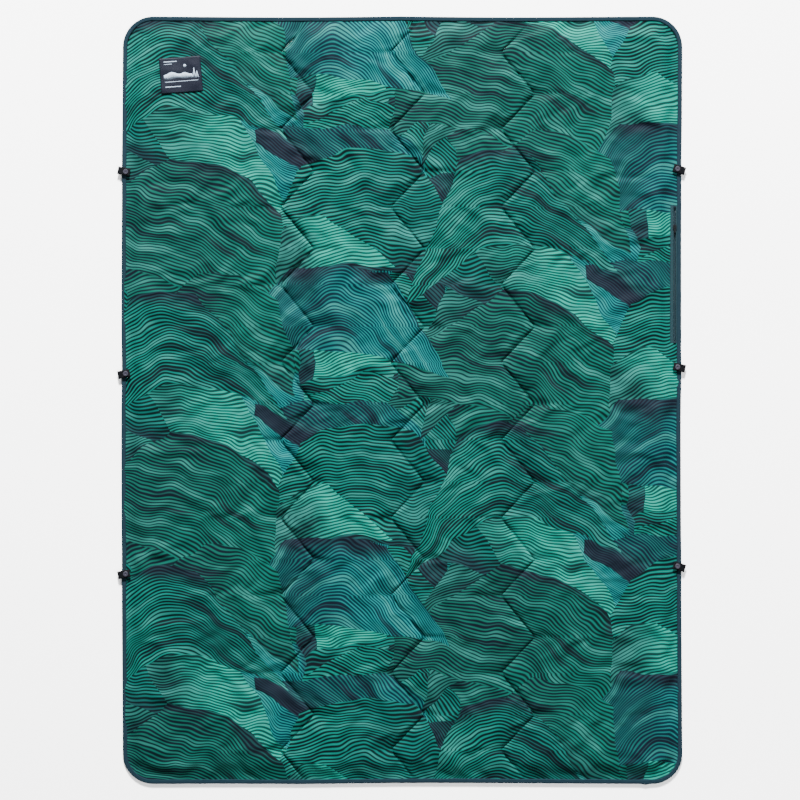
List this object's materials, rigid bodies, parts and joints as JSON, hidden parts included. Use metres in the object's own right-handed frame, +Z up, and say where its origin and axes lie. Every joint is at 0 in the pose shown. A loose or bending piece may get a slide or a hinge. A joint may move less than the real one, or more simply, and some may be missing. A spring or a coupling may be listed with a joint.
{
  "type": "camp blanket",
  "caption": "Quilted synthetic camp blanket lying flat, with a bound edge, zigzag quilting, a zipped stow pocket and snap tabs along both long sides.",
  "frame": {"origin": "on the floor under the middle of the blanket", "axes": "+X to the right and +Y to the label's edge, seen from above, +Z up"},
  "size_m": [1.3925, 1.88, 0.0111],
  "materials": {
    "printed_ripstop": "fine ripstop with a printed wave pattern, soft sheen",
    "plain_ripstop": "fine ripstop, plain dark slate",
    "fill": "lofted synthetic fibre, matt",
    "binding_tape": "ribbed woven tape, matt",
    "dark_thread": "polyester thread",
    "pale_thread": "polyester thread",
    "label_weave": "woven label, satin",
    "ribbon": "grosgrain ribbon, matt",
    "snap_plastic": "moulded plastic, satin",
    "zip_tape": "knitted tape, matt",
    "zip_coil": "nylon, soft gloss",
    "slider_metal": "painted diecast, satin"
  },
  "bodies": {
    "blanket": {"back_shell": "plain_ripstop", "binding_stitching": "dark_thread", "edge_binding": "binding_tape", "front_shell": "printed_ripstop", "insulation": "fill", "label": "label_weave", "label_stitching": "pale_thread", "pocket_back_panel": "plain_ripstop", "pocket_front_panel": "plain_ripstop", "pocket_stitching": "dark_thread", "quilt_stitching_back": "dark_thread", "quilt_stitching_front": "dark_thread", "snap_posts": "snap_plastic", "snap_studs": "snap_plastic", "tab_bar_tacks": "dark_thread", "tab_root_L1": "ribbon", "tab_root_L2": "ribbon", "tab_root_L3": "ribbon", "tab_root_R1": "ribbon", "tab_root_R2": "ribbon", "tab_root_R3": "ribbon", "zipper_bottom_stop": "zip_coil", "zipper_coil_inner": "zip_coil", "zipper_coil_outer": "zip_coil", "zipper_stitching": "dark_thread", "zipper_tape_inner": "zip_tape", "zipper_tape_outer": "zip_tape", "zipper_top_stop": "zip_coil"},
    "flap_L1": {"tab_flap_L1": "ribbon", "snap_cap_L1": "snap_plastic", "snap_socket_L1": "snap_plastic"},
    "flap_L2": {"tab_flap_L2": "ribbon", "snap_cap_L2": "snap_plastic", "snap_socket_L2": "snap_plastic"},
    "flap_L3": {"tab_flap_L3": "ribbon", "snap_cap_L3": "snap_plastic", "snap_socket_L3": "snap_plastic"},
    "flap_R1": {"tab_flap_R1": "ribbon", "snap_cap_R1": "snap_plastic", "snap_socket_R1": "snap_plastic"},
    "flap_R2": {"tab_flap_R2": "ribbon", "snap_cap_R2": "snap_plastic", "snap_socket_R2": "snap_plastic"},
    "flap_R3": {"tab_flap_R3": "ribbon", "snap_cap_R3": "snap_plastic", "snap_socket_R3": "snap_plastic"},
    "slider": {"zipper_slider": "slider_metal"},
    "pull": {"zipper_pull": "slider_metal"}
  },
  "joints": [
    {"name": "tab_fold_L1", "type": "hinge", "parent": "blanket", "child": "flap_L1", "pos_m": [-0.69407, 0.56305, 0.00665], "axis": [-0.2079, -0.9781, 0], "range_deg": [0, 180]},
    {"name": "tab_fold_L2", "type": "hinge", "parent": "blanket", "child": "flap_L2", "pos_m": [-0.69414, 0.06128, 0.00665], "axis": [0.1908, -0.9816, 0], "range_deg": [0, 180]},
    {"name": "tab_fold_L3", "type": "hinge", "parent": "blanket", "child": "flap_L3", "pos_m": [-0.69414, -0.42872, 0.00665], "axis": [0.1908, -0.9816, 0], "range_deg": [0, 180]},
    {"name": "tab_fold_R1", "type": "hinge", "parent": "blanket", "child": "flap_R1", "pos_m": [0.69355, 0.55997, 0.00665], "axis": [0.309, 0.9511, 0], "range_deg": [0, 180]},
    {"name": "tab_fold_R2", "type": "hinge", "parent": "blanket", "child": "flap_R2", "pos_m": [0.694, 0.07661, 0.00665], "axis": [0.225, 0.9744, 0], "range_deg": [0, 180]},
    {"name": "tab_fold_R3", "type": "hinge", "parent": "blanket", "child": "flap_R3", "pos_m": [0.69355, -0.41203, 0.00665], "axis": [0.309, 0.9511, 0], "range_deg": [0, 180]},
    {"name": "zipper_travel", "type": "slide", "parent": "blanket", "child": "slider", "axis": [0, 1, 0], "range_m": [-0.273, 0.042]},
    {"name": "pull_swing", "type": "hinge", "parent": "slider", "child": "pull", "pos_m": [0.6685, 0.424, 0.00825], "axis": [-1, 0, 0], "range_deg": [0, 180]}
  ]
}
